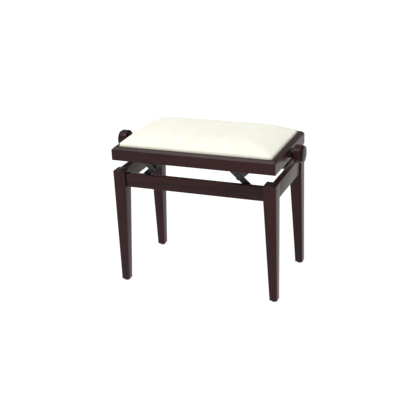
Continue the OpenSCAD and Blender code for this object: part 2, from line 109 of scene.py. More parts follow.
class BenchCushionSettings(bpy.types.PropertyGroup):
    cloth: StringProperty(name="Cloth", description="Colour of the velvet, sRGB", default="#FCFBEF")
    shade: StringProperty(name="Shade", description="Colour of the velvet where its pile is brushed, sRGB",
                          default="#F6F4E1")
    pile: length("Pile", "Spacing of the tufts of the pile", 1.1, 0.2, 5)
    edge_rise: length("Edge rise", "Height of the cushion's edge above the frame", 9, 0, 20)
    crown_rise: length("Crown rise", "Rise of the cushion's crown above its edge", 27, 0, 40)
    slope_width: length("Slope width", "Width of the cushion's slopes along its sides", 60, 10, 120)
    end_slope: length("End slope", "Width of the cushion's slopes at its two ends", 92, 10, 200)
    corner: length("Corner radius", "Rounding of the cushion's corners in plan", 7, 1, 30)
    voxel: length("Cloth cell", "Size of the cells of the simulated cloth", 5, 3, 10)
    pressure: FloatProperty(name="Stuffing pressure", description="Pressure that swells the cushion",
                            default=4.0, min=0.0, max=20.0)
    swell: length("Most swell", "Furthest that the stuffing may move the cloth", 4, 0, 30)


class BenchKnobSettings(bpy.types.PropertyGroup):
    neck: length("Neck", "Diameter of a knob's neck", 34, 20, 50)
    neck_length: length("Neck length", "Length of a knob's neck", 10, 4, 20)
    hub: length("Hub", "Diameter of a knob's hub", 59, 40, 70)
    hub_length: length("Hub length", "Length of a knob's hub", 25, 15, 40)
    disc: length("Disc", "Diameter of a knob's end disc", 52, 30, 60)
    disc_length: length("Disc length", "Length of the end disc with its groove", 6, 3, 12)
    groove_width: length("Groove width", "Width of the groove behind the disc", 2, 1.7, 5)
    groove_depth: length("Groove depth", "Depth of the groove below the disc's rim", 4, 1, 8)
    dome: length("Dome", "Rise of a knob's domed end", 3, 0.5, 8)


class BenchMetalSettings(bpy.types.PropertyGroup):
    coat: StringProperty(name="Powder coat", description="Colour of the black powder coat, sRGB",
                         default="#191B1A")
    zinc: StringProperty(name="Zinc", description="Colour of the zinc plate, sRGB", default="#A6A8A9")
    brass: StringProperty(name="Brass", description="Colour of the nuts' brass, sRGB", default="#B99A55")
    thread_lead: length("Thread lead", "Advance of the spindle's thread in one turn", 6, 2, 12)
    thread_depth: length("Thread depth", "Depth of the spindle's thread", 0.9, 0.2, 2)


class BenchStageSettings(bpy.types.PropertyGroup):
    camera_place: FloatVectorProperty(name="Camera place", description="Where the camera stands", size=3,
                                      default=(1.0171, -2.5064, 1.3638), unit="LENGTH", subtype="TRANSLATION")
    camera_turn: FloatVectorProperty(name="Camera turn", description="Yaw, pitch down and roll of the camera",
                                     size=3, default=(0.38812, 0.39824, -0.04242), unit="ROTATION",
                                     subtype="EULER")
    lens: FloatProperty(name="Lens", description="Focal length for a 36 mm wide sensor",
                        default=74.9, min=10.0)
    floor: StringProperty(name="Floor", description="Colour of the floor, sRGB", default="#8C8C8C")
    floor_glow: FloatProperty(name="Floor glow", description="Light from below through the opal floor",
                              default=0.88, min=0.0)
    key_power: FloatProperty(name="Key light", description="Power of the main soft light",
                             default=42.0, min=0.0)
    front_power: FloatProperty(name="Front light", description="Power of the low front light",
                               default=5.0, min=0.0)
    overhead: FloatProperty(name="Overhead", description="Brightness of the studio's ceiling",
                            default=1.18, min=0.0)
    horizon: FloatProperty(name="Horizon", description="Brightness of the studio's walls at the horizon",
                           default=0.1, min=0.0)


# ---------------------------------------------------------------- numbers and meshes


def linear(code):
    """Linear colour of an sRGB hex value, opaque."""
    value = np.array([int(code[i : i + 2], 16) / 255 for i in (1, 3, 5)])
    lin = np.where(value <= 0.04045, value / 12.92, ((value + 0.055) / 1.055) ** 2.4)
    return (*map(float, lin), 1.0)


def corners(node):
    """Lowest and highest corner of a frame node as arrays, in metres."""
    low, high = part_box(node)
    return np.array(low), np.array(high)


def rounded_outline(points, radii, steps=4):
    """Closed outline with each corner of a polygon replaced by an arc.

    At a corner whose edges leave along unit vectors a and b, half the angle between them is h. The
    arc of radius r touches both edges at r / tan(h), and its centre lies r / sin(h) along a + b."""
    p = np.asarray(points, float)
    r = np.broadcast_to(np.asarray(radii, float), (len(p),))[:, None]
    a = np.roll(p, 1, 0) - p
    b = np.roll(p, -1, 0) - p
    a /= np.linalg.norm(a, axis=1, keepdims=True)
    b /= np.linalg.norm(b, axis=1, keepdims=True)
    half = np.arccos(np.clip((a * b).sum(1, keepdims=True), -1, 1)) / 2
    middle = a + b
    middle /= np.linalg.norm(middle, axis=1, keepdims=True)
    centre = p + middle * r / np.sin(half)
    start = p + a * r / np.tan(half) - centre
    end = p + b * r / np.tan(half) - centre
    t = np.linspace(0, 1, steps + 1)[None, :, None]
    # Between the two ends the radius turns evenly: spherical blend of start and end
    turn = (math.pi - 2 * half)[:, None, :]
    bend = (np.sin((1 - t) * turn) * start[:, None] + np.sin(t * turn) * end[:, None]) / np.sin(turn)
    return (centre[:, None] + bend).reshape(-1, 2)


def grid_faces(rows, columns, wrap):
    """Quads of a grid of points numbered row by row; wrap joins the last column to the first."""
    i = np.arange(rows - 1)[:, None]
    j = np.arange(columns if wrap else columns - 1)[None, :]
    k = (j + 1) % columns
    quads = np.stack([i * columns + j, i * columns + k, (i + 1) * columns + k, (i + 1) * columns + j], -1)
    return quads.reshape(-1, 4)


def add_object(name, points, faces, caps=()):
    """Mesh object from an array of points, an array of quads and a few flat end faces."""
    mesh = bpy.data.meshes.new(name)
    mesh.from_pydata(points.reshape(-1, 3).tolist(), [], faces.tolist() + [list(map(int, c)) for c in caps])
    mesh.validate()
    obj = bpy.data.objects.new(name, mesh)
    bpy.context.scene.collection.objects.link(obj)
    point_outwards(mesh)
    return obj


def point_outwards(mesh):
    """Makes every face of a closed mesh point outwards."""
    bm = bmesh.new()
    bm.from_mesh(mesh)
    bmesh.ops.recalc_face_normals(bm, faces=bm.faces)
    bm.to_mesh(mesh)
    bm.free()


def loft(name, rings):
    """Closed skin over rings of points, (ring, point, xyz), with a flat face at each end."""
    rows, columns = rings.shape[:2]
    first = np.arange(columns)[::-1]
    last = (rows - 1) * columns + np.arange(columns)
    return add_object(name, rings, grid_faces(rows, columns, True), [first, last])


def lathe(name, outline, axis_z, sign, steps=96):
    """Surface of revolution about the X direction at height axis_z.

    outline holds (radius, distance along X), and the point at angle t lies at
    (sign * distance, radius * cos t, axis_z + radius * sin t)."""
    t = np.linspace(0, 2 * math.pi, steps, endpoint=False)
    radius, along = np.asarray(outline, float).T
    x = sign * np.broadcast_to(along[:, None], (len(along), steps))
    y = radius[:, None] * np.cos(t)
    z = axis_z + radius[:, None] * np.sin(t)
    return loft(name, np.stack([x, y, z], -1))


def smooth(obj, angle=math.radians(30)):
    """Smooth shading that keeps edges sharper than the angle."""
    obj.data.shade_smooth()
    obj.data.set_sharp_from_angle(angle=angle)


def finish_piece(obj, material, nodes):
    """Gives a piece its material, shading and body, and hides the frame nodes that it stands for."""
    nodes = [nodes] if isinstance(nodes, str) else nodes
    obj.data.materials.clear()
    obj.data.materials.append(material)
    smooth(obj)
    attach(obj, BODY_OF[nodes[0]])
    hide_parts(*nodes)
    return obj


def eased_copy(name, node, width):
    """Copy of a frame node with its coplanar triangles joined and its sharp edges rounded to width."""
    level, crease = math.radians(1), math.radians(35)
    mesh = NODES[node].data.copy()
    mesh.name = name
    mesh.materials.clear()
    bm = bmesh.new()
    bm.from_mesh(mesh)
    bmesh.ops.remove_doubles(bm, verts=bm.verts, dist=2e-6)
    bmesh.ops.dissolve_limit(bm, angle_limit=level, verts=bm.verts, edges=bm.edges)
    bmesh.ops.recalc_face_normals(bm, faces=bm.faces)
    sharp = [e for e in bm.edges if len(e.link_faces) == 2 and e.calc_face_angle() > crease]
    bmesh.ops.bevel(bm, geom=sharp, offset=width, segments=2, profile=0.5, affect="EDGES", clamp_overlap=True)
    bm.to_mesh(mesh)
    bm.free()
    obj = bpy.data.objects.new(name, mesh)
    bpy.context.scene.collection.objects.link(obj)
    return obj


def ease_all(rows):
    """Eased copies of frame nodes, from rows of (nodes, width of the edge, material, slot)."""
    for nodes, width, material, slot in rows:
        for node in nodes:
            finish_piece(eased_copy(f"eased_{node}", node, width), finish(material), node)


# ---------------------------------------------------------------- materials


def add_node(tree, kind, links=None, stops=(), **settings):
    """One shader node: settings are its properties, or sockets given as inputs={...}; links feed its
    sockets, and stops are the (position, sRGB colour) pairs of its ramp."""
    item = tree.nodes.new(kind)
    for key, value in settings.pop("inputs", {}).items():
        item.inputs[key].default_value = value
    for key, value in settings.items():
        setattr(item, key, value)
    for key, source in (links or {}).items():
        tree.links.new(source, item.inputs[key])
    for _ in stops[2:]:
        item.color_ramp.elements.new(0.5)
    for index, (position, code) in enumerate(stops):
        item.color_ramp.elements[index].position = position
        item.color_ramp.elements[index].color = linear(code)
    return item


def new_material(name, **constants):
    """Material with one Principled shader whose constant sockets are set, with its tree and shader."""
    material = bpy.data.materials.new(name)
    material.use_nodes = True
    tree = material.node_tree
    shader = tree.nodes["Principled BSDF"]
    for key, value in constants.items():
        shader.inputs[key].default_value = value
    return material, tree, shader


def mean(tree, first, second):
    """Half the sum of two patterns."""
    total = add_node(tree, "ShaderNodeMath", {0: first, 1: second}, operation="ADD").outputs[0]
    return add_node(tree, "ShaderNodeMath", {0: total}, operation="MULTIPLY", inputs={1: 0.5}).outputs[0]


def dress(tree, shader, tint, relief, rough=None):
    """Wires patterns to a shader: tint is (pattern, ramp stops) for its colour, relief is (pattern,
    height, strength) for its bump, and rough is (pattern, lowest, highest) for its roughness."""
    ramp = add_node(tree, "ShaderNodeValToRGB", {"Fac": tint[0]}, tint[1])
    tree.links.new(ramp.outputs["Color"], shader.inputs["Base Color"])
    bump = add_node(tree, "ShaderNodeBump", {"Height": relief[0]},
                    inputs={"Distance": relief[1], "Strength": relief[2]})
    tree.links.new(bump.outputs["Normal"], shader.inputs["Normal"])
    if rough:
        spread = add_node(tree, "ShaderNodeMapRange", {"Value": rough[0]},
                          inputs={"To Min": rough[1], "To Max": rough[2]})
        tree.links.new(spread.outputs["Result"], shader.inputs["Roughness"])


def stained_beech(name, scene):
    """Beech, stained dark and sprayed with satin lacquer: fine straight grain runs along the axis that
    ends the name, and the lacquer fills the pores, so the gloss is even with only a faint ripple."""
    s = scene.bench_wood
    material, tree, shader = new_material(name, **{
        "IOR": 1.5, "Specular IOR Level": 0.13, "Coat Weight": 0.05, "Coat Roughness": 0.14, "Coat IOR": 1.5})
    place = add_node(tree, "ShaderNodeTexCoord").outputs["Object"]
    # The grain is 25 times longer than it is wide
    stretch = [1.0, 1.0, 1.0]
    stretch["xyz".index(name[-1])] = 1 / 25
    mapped = add_node(tree, "ShaderNodeMapping", {"Vector": place}, inputs={"Scale": stretch})
    per_metre = 1 / s.grain_width
    fibres = add_node(tree, "ShaderNodeTexNoise", {"Vector": mapped.outputs["Vector"]}, inputs={
        "Scale": per_metre, "Detail": 4.0, "Roughness": 0.6, "Distortion": 0.4}).outputs["Fac"]
    # Clouds nine grains wide
    clouds = add_node(tree, "ShaderNodeTexNoise", {"Vector": mapped.outputs["Vector"]}, inputs={
        "Scale": per_metre / 9, "Detail": 2.0, "Roughness": 0.5}).outputs["Fac"]
    dress(tree, shader, (mean(tree, fibres, clouds), [(0.36, s.grain), (0.5, s.stain), (0.68, s.stain)]),
          (fibres, 0.12 * MM, 0.35), (fibres, s.sheen_roughness - 0.05, s.sheen_roughness + 0.08))
    return material


def planed_beech(name, scene):
    """Beech, planed and left bare: warm pale wood with short dark flecks."""
    material, tree, shader = new_material(name, **{"Roughness": 0.62, "IOR": 1.45})
    place = add_node(tree, "ShaderNodeTexCoord").outputs["Object"]
    mapped = add_node(tree, "ShaderNodeMapping", {"Vector": place}, inputs={"Scale": (1, 1, 0.12)})
    # Flecks about 2 mm across and 15 mm long
    flecks = add_node(tree, "ShaderNodeTexNoise", {"Vector": mapped.outputs["Vector"]}, inputs={
        "Scale": 1 / (2 * MM), "Detail": 5.0, "Roughness": 0.65}).outputs["Fac"]
    dress(tree, shader, (flecks, [(0.35, "#A77B4C"), (0.55, "#CFA877"), (0.75, "#DDBB8E")]),
          (flecks, 0.2 * MM, 0.4))
    return material


def birch_plywood(name, scene):
    """Birch plywood: pale faces, with the plies showing as bands 1.5 mm thick on its edges."""
    material, tree, shader = new_material(name, **{"Roughness": 0.6, "IOR": 1.45})
    place = add_node(tree, "ShaderNodeTexCoord").outputs["Object"]
    mapped = add_node(tree, "ShaderNodeMapping", {"Vector": place}, inputs={"Scale": (0.06, 1, 1)})
    grain = add_node(tree, "ShaderNodeTexNoise", {"Vector": mapped.outputs["Vector"]}, inputs={
        "Scale": 1 / (3 * MM), "Detail": 4.0, "Roughness": 0.6}).outputs["Fac"]
    plies = add_node(tree, "ShaderNodeTexWave", {"Vector": place}, wave_type="BANDS", bands_direction="Z",
                     inputs={"Scale": WAVE / (3 * MM), "Distortion": 0.6, "Detail": 1.0}).outputs["Fac"]
    dress(tree, shader, (mean(tree, grain, plies), [(0.2, "#9C7A50"), (0.5, "#CBAC80"), (0.8, "#DCC29A")]),
          (grain, 0.15 * MM, 0.3))
    return material


def black_powder_coat(name, scene):
    """Polyester powder coat on steel: nearly black, satin, with the fine orange peel of the cured powder."""
    material, tree, shader = new_material(name, **{"IOR": 1.5})
    place = add_node(tree, "ShaderNodeTexCoord").outputs["Object"]
    # Orange peel about 0.9 mm across
    peel = add_node(tree, "ShaderNodeTexNoise", {"Vector": place}, inputs={
        "Scale": 1 / (0.9 * MM), "Detail": 2.0, "Roughness": 0.5}).outputs["Fac"]
    wear = add_node(tree, "ShaderNodeTexNoise", {"Vector": place}, inputs={
        "Scale": 1 / (25 * MM), "Detail": 3.0, "Roughness": 0.6}).outputs["Fac"]
    dress(tree, shader, (wear, [(0.35, scene.bench_metal.coat), (0.75, "#232625")]),
          (peel, 0.06 * MM, 0.5), (wear, 0.36, 0.5))
    return material


def zinc_plate(name, scene):
    """Bright zinc on turned steel: a cool grey metal, faintly clouded, with fine turning marks."""
    material, tree, shader = new_material(name, **{"Metallic": 1.0})
    place = add_node(tree, "ShaderNodeTexCoord").outputs["Object"]
    clouds = add_node(tree, "ShaderNodeTexNoise", {"Vector": place}, inputs={
        "Scale": 1 / (6 * MM), "Detail": 3.0, "Roughness": 0.6}).outputs["Fac"]
    # Turning marks, drawn as coarse as 0.7 mm so that they show
    marks = add_node(tree, "ShaderNodeTexNoise", {"Vector": place}, inputs={
        "Scale": 1 / (0.7 * MM), "Detail": 1.0}).outputs["Fac"]
    dress(tree, shader, (clouds, [(0.3, "#8E9193"), (0.7, scene.bench_metal.zinc)]),
          (marks, 0.02 * MM, 0.4), (clouds, 0.24, 0.42))
    return material


def blackened_steel(name, scene):
    """Turned steel, blackened in hot salts: a dark bluish metal with an oily gloss, uneven where it was
    handled."""
    material, tree, shader = new_material(name, **{"Metallic": 1.0})
    place = add_node(tree, "ShaderNodeTexCoord").outputs["Object"]
    clouds = add_node(tree, "ShaderNodeTexNoise", {"Vector": place}, inputs={
        "Scale": 1 / (7 * MM), "Detail": 3.0, "Roughness": 0.6}).outputs["Fac"]
    dress(tree, shader, (clouds, [(0.3, "#2B2D30"), (0.7, "#454749")]),
          (clouds, 0.03 * MM, 0.3), (clouds, 0.25, 0.4))
    return material


def machined_brass(name, scene):
    """Brass bar, milled and turned: a dull yellow metal with fine cutter marks 0.8 mm apart."""
    material, tree, shader = new_material(name, **{"Metallic": 1.0})
    place = add_node(tree, "ShaderNodeTexCoord").outputs["Object"]
    stain = add_node(tree, "ShaderNodeTexNoise", {"Vector": place}, inputs={
        "Scale": 1 / (9 * MM), "Detail": 4.0, "Roughness": 0.6}).outputs["Fac"]
    marks = add_node(tree, "ShaderNodeTexWave", {"Vector": place}, bands_direction="Y",
                     inputs={"Scale": WAVE / (0.8 * MM), "Distortion": 1.0}).outputs["Fac"]
    dress(tree, shader, (stain, [(0.3, "#8D7440"), (0.7, scene.bench_metal.brass)]),
          (marks, 0.02 * MM, 0.4), (stain, 0.45, 0.28))
    return material


def moulded_nylon(name, scene):
    """Black nylon, moulded: dull and faintly grained."""
    material, tree, shader = new_material(name, **{"IOR": 1.53})
    place = add_node(tree, "ShaderNodeTexCoord").outputs["Object"]
    grain = add_node(tree, "ShaderNodeTexNoise", {"Vector": place}, inputs={
        "Scale": 1 / (0.8 * MM), "Detail": 2.0}).outputs["Fac"]
    dress(tree, shader, (grain, [(0.3, "#131313"), (0.7, "#1D1C1C")]),
          (grain, 0.05 * MM, 0.5), (grain, 0.45, 0.6))
    return material


def ivory_velvet(name, scene):
    """Short cotton velvet, woven and sheared: a matt pile that catches light at its edges, with soft
    clouds where the pile has been brushed another way."""
    s = scene.bench_cushion
    material, tree, shader = new_material(name, **{
        "Roughness": 0.9, "IOR": 1.45, "Sheen Weight": 0.3, "Sheen Roughness": 0.5})
    place = add_node(tree, "ShaderNodeTexCoord").outputs["Object"]
    # Tufts of the pile, drawn a little coarser than the 0.5 mm of a real pile so that they show
    tufts = add_node(tree, "ShaderNodeTexVoronoi", {"Vector": place}, feature="F1", inputs={
        "Scale": 1 / s.pile, "Randomness": 0.85}).outputs["Distance"]
    brushed = add_node(tree, "ShaderNodeTexNoise", {"Vector": place}, inputs={
        "Scale": 1 / (38 * MM), "Detail": 3.0, "Roughness": 0.55, "Distortion": 0.5}).outputs["Fac"]
    fleck = add_node(tree, "ShaderNodeTexNoise", {"Vector": place}, inputs={
        "Scale": 1 / (3 * MM), "Detail": 3.0, "Roughness": 0.7}).outputs["Fac"]
    dress(tree, shader, (mean(tree, brushed, fleck), [(0.36, s.shade), (0.6, s.cloth)]),
          (tufts, 0.35 * MM, 0.5))
    return material


FINISHES = {
    **{f"stained_beech_{axis}": stained_beech for axis in "xyz"},
    **{item.__name__: item for item in (planed_beech, birch_plywood, black_powder_coat, blackened_steel,
                                        zinc_plate, machined_brass, moulded_nylon, ivory_velvet)},
}


def finish(name):
    """The material of that name, made the first time it is asked for."""
    return bpy.data.materials.get(name) or FINISHES[name](name, bpy.context.scene)


# ---------------------------------------------------------------- shapes of this bench


def soft_rectangle(low, high, radius, inset):
    """Rectangle from low to high moved inwards by inset, its corners rounded to the rest of the radius."""
    low, high = np.array(low) + inset, np.array(high) - inset
    corner = [(low[0], low[1]), (high[0], low[1]), (high[0], high[1]), (low[0], high[1])]
    return rounded_outline(corner, max(radius - inset, 0.02 * MM))


def eased_ends(start, end, radius, steps=4):
    """Places along a bar and the insets there: a quarter circle of the radius rounds each end.

    At angle t the place is radius * (1 - cos t) from the end, and the inset is radius * (1 - sin t)."""
    t = np.linspace(0, math.pi / 2, steps + 1)
    along = radius * (1 - np.cos(t))
    inset = radius * (1 - np.sin(t))
    return np.concatenate([start + along, (end - along)[::-1]]), np.concatenate([inset, inset[::-1]])


def eased_bar(name, low, high, axis, radius):
    """Straight square bar between two corners, all its edges rounded to the radius."""
    others = [i for i in range(3) if i != axis]
    places, insets = eased_ends(low[axis], high[axis], radius)
    rings = []
    for place, inset in zip(places, insets):
        outline = soft_rectangle(low[others], high[others], radius, inset)
        ring = np.insert(outline, axis, place, axis=1)
        rings.append(ring)
    return loft(name, np.array(rings))


def tapered_leg(name, low, high, foot, square, radius):
    """Leg between two corners whose outer faces are upright and whose two inner faces taper.

    The width is the full width down to the end of the square top, and from there it shrinks in
    proportion to the height, down to the foot's width at the floor end."""
    outer = np.where(np.abs(low[:2]) > np.abs(high[:2]), low[:2], high[:2])
    inwards = -np.sign(outer)
    full = high[0] - low[0]
    knee = high[2] - square
    places, insets = eased_ends(low[2], high[2], radius)
    # Three rings round the knee turn the taper into the square top smoothly
    reach = 6 * MM
    places = np.insert(places, len(places) // 2, [knee - reach, knee, knee + reach])
    insets = np.insert(insets, len(insets) // 2, [0, 0, 0])
    widths = foot + (full - foot) * np.clip((places - low[2]) / (knee - low[2]), 0, 1)
    rings = []
    for place, inset, width in zip(places, insets, widths):
        inner = outer + inwards * width
        ring = soft_rectangle(np.minimum(outer, inner), np.maximum(outer, inner), radius, inset)
        rings.append(np.insert(ring, 2, place, axis=1))
    return loft(name, np.array(rings))


def shrink_outline(points, distance):
    """Closed outline moved inwards by a distance, each point along the mean of its edges' normals."""
    along = np.roll(points, -1, 0) - np.roll(points, 1, 0)
    normal = np.stack([-along[:, 1], along[:, 0]], 1)
    normal /= np.linalg.norm(normal, axis=1, keepdims=True)
    area = np.sum(points[:, 0] * np.roll(points[:, 1], -1) - np.roll(points[:, 0], -1) * points[:, 1])
    return points + normal * distance * np.sign(area)


def mitred_rail(name, section, half_length, half_width, axis, side):
    """Rail with the given section, (distance inwards, height), mitred at 45 degrees at both ends.

    A section point u inwards ends at half_length - u, and a tiny round at each end leaves the
    hairline of the mitre showing."""
    hairline = 0.35 * MM
    setback = hairline * 0.9
    rings = []
    for sign, step in [(-1, 0), (-1, 1), (1, 1), (1, 0)]:
        outline = section if step else shrink_outline(section, hairline)
        end = half_length - outline[:, 0] - setback * step
        across = side * (half_width - outline[:, 0])
        ring = np.stack([sign * end, across, outline[:, 1]], 1)
        rings.append(ring if axis == 0 else ring[:, [1, 0, 2]])
    return loft(name, np.array(rings))


def apply_modifier(obj, modifier):
    """Gives an object the mesh that its modifier makes, and removes the modifier."""
    graph = bpy.context.evaluated_depsgraph_get()
    mesh = bpy.data.meshes.new_from_object(obj.evaluated_get(graph))
    obj.modifiers.remove(modifier)
    old = obj.data
    obj.data = mesh
    mesh.name = obj.name
    bpy.data.meshes.remove(old)


def drill(piece, cutter):
    """Cuts a closed cutter out of a piece and removes the cutter."""
    cut = piece.modifiers.new("drill", "BOOLEAN")
    cut.operation = "DIFFERENCE"
    cut.solver = "EXACT"
    cut.object = cutter
    apply_modifier(piece, cut)
    bpy.data.objects.remove(cutter)
    point_outwards(piece.data)


def arc(centre, radius, first, last, steps=8):
    """Points of an arc, its angles in degrees."""
    t = np.radians(np.linspace(first, last, steps + 1))
    return np.array(centre) + radius * np.stack([np.cos(t), np.sin(t)], 1)


def knob_outline(s):
    """Half outline of a turned knob, (radius, distance from the neck's face): a neck that opens in a
    cove, a hub with rounded shoulders, a narrow groove and a domed end disc."""
    neck, hub, disc = s.neck / 2, s.hub / 2, s.disc / 2
    hub_end = s.neck_length + s.hub_length
    groove = disc - s.groove_depth
    disc_end = hub_end + s.disc_length
    cove, shoulder, rim = s.neck_length / 3, 3 * MM, 1.5 * MM
    # The neck's broken edge, the rounding in the groove, and the radius left open on the axis
    edge, root, open_end = 0.6 * MM, 0.8 * MM, 0.1 * MM
    face = disc - rim
    dome = (face**2 + s.dome**2) / (2 * s.dome)
    dome_angle = math.degrees(math.asin(face / dome))
    tip = arc((0, disc_end + s.dome - dome), dome, 90 - dome_angle, 90, 12)
    tip[-1, 0] = open_end
    return np.concatenate([
        [[open_end, 0], [neck - edge, 0], [neck, edge]],
        arc((neck + cove, s.neck_length - cove), cove, 180, 90, 6),
        arc((hub - shoulder, s.neck_length + shoulder), shoulder, -90, 0),
        arc((hub - shoulder, hub_end - shoulder), shoulder, 0, 85),
        arc((groove + root, hub_end + root), root, 250, 180, 3),
        arc((groove + root, hub_end + s.groove_width - root), root, 180, 110, 3),
        arc((face, hub_end + s.groove_width + rim), rim, -85, 0, 5),
        arc((face, disc_end - rim), rim, 0, 90 - dome_angle, 5),
        tip,
    ])


def threaded_rod(name, low, high, s, plain_middle, plain_end):
    """Rod along X whose right half has a right hand thread and whose left half a left hand one.

    The radius is R - depth * w(p), where p is the turn at (x, t), |x| / lead - t / turn with t
    mirrored on the left, and w is a trapezium wave: 0 on the crest, 1 in the root and straight
    between, which is flank * v - crest for the triangle wave v, clipped to 0 and 1. The depth fades
    to nothing where the thread runs out."""
    radius = (high[2] - low[2]) / 2
    centre_z = (high[2] + low[2]) / 2
    chamfer, runout, centre_ring = 1.2 * MM, 4 * MM, 2 * MM
    flank, crest = 2.4, 0.7
    columns, rings_per_pitch = 40, 8
    pitch = s.thread_lead / 2
    threaded = np.arange(plain_middle, plain_end, pitch / rings_per_pitch)
    half = np.concatenate([[centre_ring], threaded, [high[0] - chamfer]])
    x = np.concatenate([[-high[0]], -half[::-1], half, [high[0]]])[:, None]
    t = np.linspace(0, 2 * math.pi, columns, endpoint=False)[None, :]
    # Two starts: the pitch between neighbouring grooves is half the lead
    turn = np.abs(x) / pitch - 2 * np.where(x > 0, t, -t) / (2 * math.pi)
    wave = np.clip(flank * (1 - 2 * np.abs(turn % 1 - 0.5)) - crest, 0, 1)
    fade = (np.clip((np.abs(x) - plain_middle) / runout, 0, 1)
            * np.clip((plain_end - np.abs(x)) / runout, 0, 1))
    r = radius - s.thread_depth * wave * fade
    r[[0, -1]] -= chamfer
    points = np.stack([np.broadcast_to(x, r.shape), r * np.cos(t), centre_z + r * np.sin(t)], -1)
    return loft(name, points)


def slope(distance, width):
    """Rise of the stuffing at a distance from the cushion's edge, which is level beyond the width:
    sin(pi / 2 * distance / width) ** fullness."""
    fullness = 0.8
    return np.sin(math.pi / 2 * np.clip(distance / width, 0, 1)) ** fullness


def crowned_pad(name, half, bottom, edge, crown, widths, corner):
    """Closed pad on a grid of (x, y): flat below, upright at its sides, and crowned on top.

    The top at (x, y) is edge + crown * slope(distance to the ends) * slope(distance to the sides),
    where widths holds the width of the slopes at the ends and along the sides.
    The grid's square outline is pressed into one with rounded corners by pulling in each point
    that lies outside the corner's circle."""
    n = (96, 56)
    x, y = np.meshgrid(*[h * np.linspace(-1, 1, k) for h, k in zip(half, n)], indexing="ij")
    core = np.array(half) - corner
    away = np.stack([np.abs(x) - core[0], np.abs(y) - core[1]], -1)
    in_corner = (away > 0).all(-1)
    reach = np.linalg.norm(np.clip(away, 0, None), axis=-1)
    pull = np.where(in_corner & (reach > corner), corner / np.maximum(reach, 1e-9), 1)
    x = np.where(in_corner, np.sign(x) * (core[0] + away[..., 0] * pull), x)
    y = np.where(in_corner, np.sign(y) * (core[1] + away[..., 1] * pull), y)
    top = edge + crown * slope(half[0] - np.abs(x), widths[0]) * slope(half[1] - np.abs(y), widths[1])
    upper = np.stack([x, y, top], -1)
    lower = np.stack([x, y, np.full_like(x, bottom)], -1)
    count = n[0] * n[1]
    quads = grid_faces(*n, False)
    index = np.arange(count).reshape(n)
    border = np.concatenate([index[:-1, 0], index[-1, :-1], index[:0:-1, -1], index[0, :0:-1]])
    after = np.roll(border, -1)
    walls = np.stack([border, after, after + count, border + count], 1)
    points = np.concatenate([upper.reshape(-1, 3), lower.reshape(-1, 3)])
    return add_object(name, points, np.concatenate([quads[:, ::-1], quads + count, walls]))


def remeshed(obj, voxel):
    """Even skin of quads over a closed piece, as a new mesh on the same object."""
    work = obj.modifiers.new("even", "REMESH")
    work.mode = "VOXEL"
    work.voxel_size = voxel
    apply_modifier(obj, work)


def places_of(mesh):
    """Positions of a mesh's vertices as an array."""
    flat = np.empty(len(mesh.vertices) * 3)
    mesh.vertices.foreach_get("co", flat)
    return flat.reshape(-1, 3)


def swell(obj, s, held_below):
    """Stuffs a piece: simulates its skin as cloth under inside pressure and keeps the result.

    Points lower than held_below are held, as the board holds them. The cloth is simulated without
    gravity, and the movement is scaled down evenly if it goes past the most swell."""
    frames, levels, fade = 20, 8, 8 * MM
    start = places_of(obj.data)
    # The hold fades out above the frame in even levels, so that the sides bend over softly
    hold = np.ceil(levels * np.clip((held_below + fade - start[:, 2]) / fade, 0, 1)).astype(int)
    group = obj.vertex_groups.new(name="held")
    for level in range(1, levels + 1):
        group.add(np.nonzero(hold == level)[0].tolist(), level / levels, "REPLACE")
    modifier = obj.modifiers.new("stuffing", "CLOTH")
    cloth = modifier.settings
    cloth.quality = 6
    cloth.mass = 0.3
    cloth.use_pressure = True
    cloth.uniform_pressure_force = s.pressure
    cloth.effector_weights.gravity = 0
    cloth.vertex_group_mass = group.name
    modifier.point_cache.frame_start = 1
    modifier.point_cache.frame_end = frames
    scene = bpy.context.scene
    for frame_number in range(1, frames + 1):
        scene.frame_set(frame_number)
    graph = bpy.context.evaluated_depsgraph_get()
    end = places_of(obj.evaluated_get(graph).data)
    obj.modifiers.remove(modifier)
    obj.vertex_groups.remove(group)
    scene.frame_set(1)
    move = end - start
    furthest = np.linalg.norm(move, axis=1).max()
    move *= min(1, s.swell / max(furthest, 1e-9))
    print(f"{obj.name}: the stuffing moves the cloth by up to {furthest / MM:.1f} mm")
    obj.data.vertices.foreach_set("co", (start + move).ravel())
    obj.data.update()


# ---------------------------------------------------------------- operators


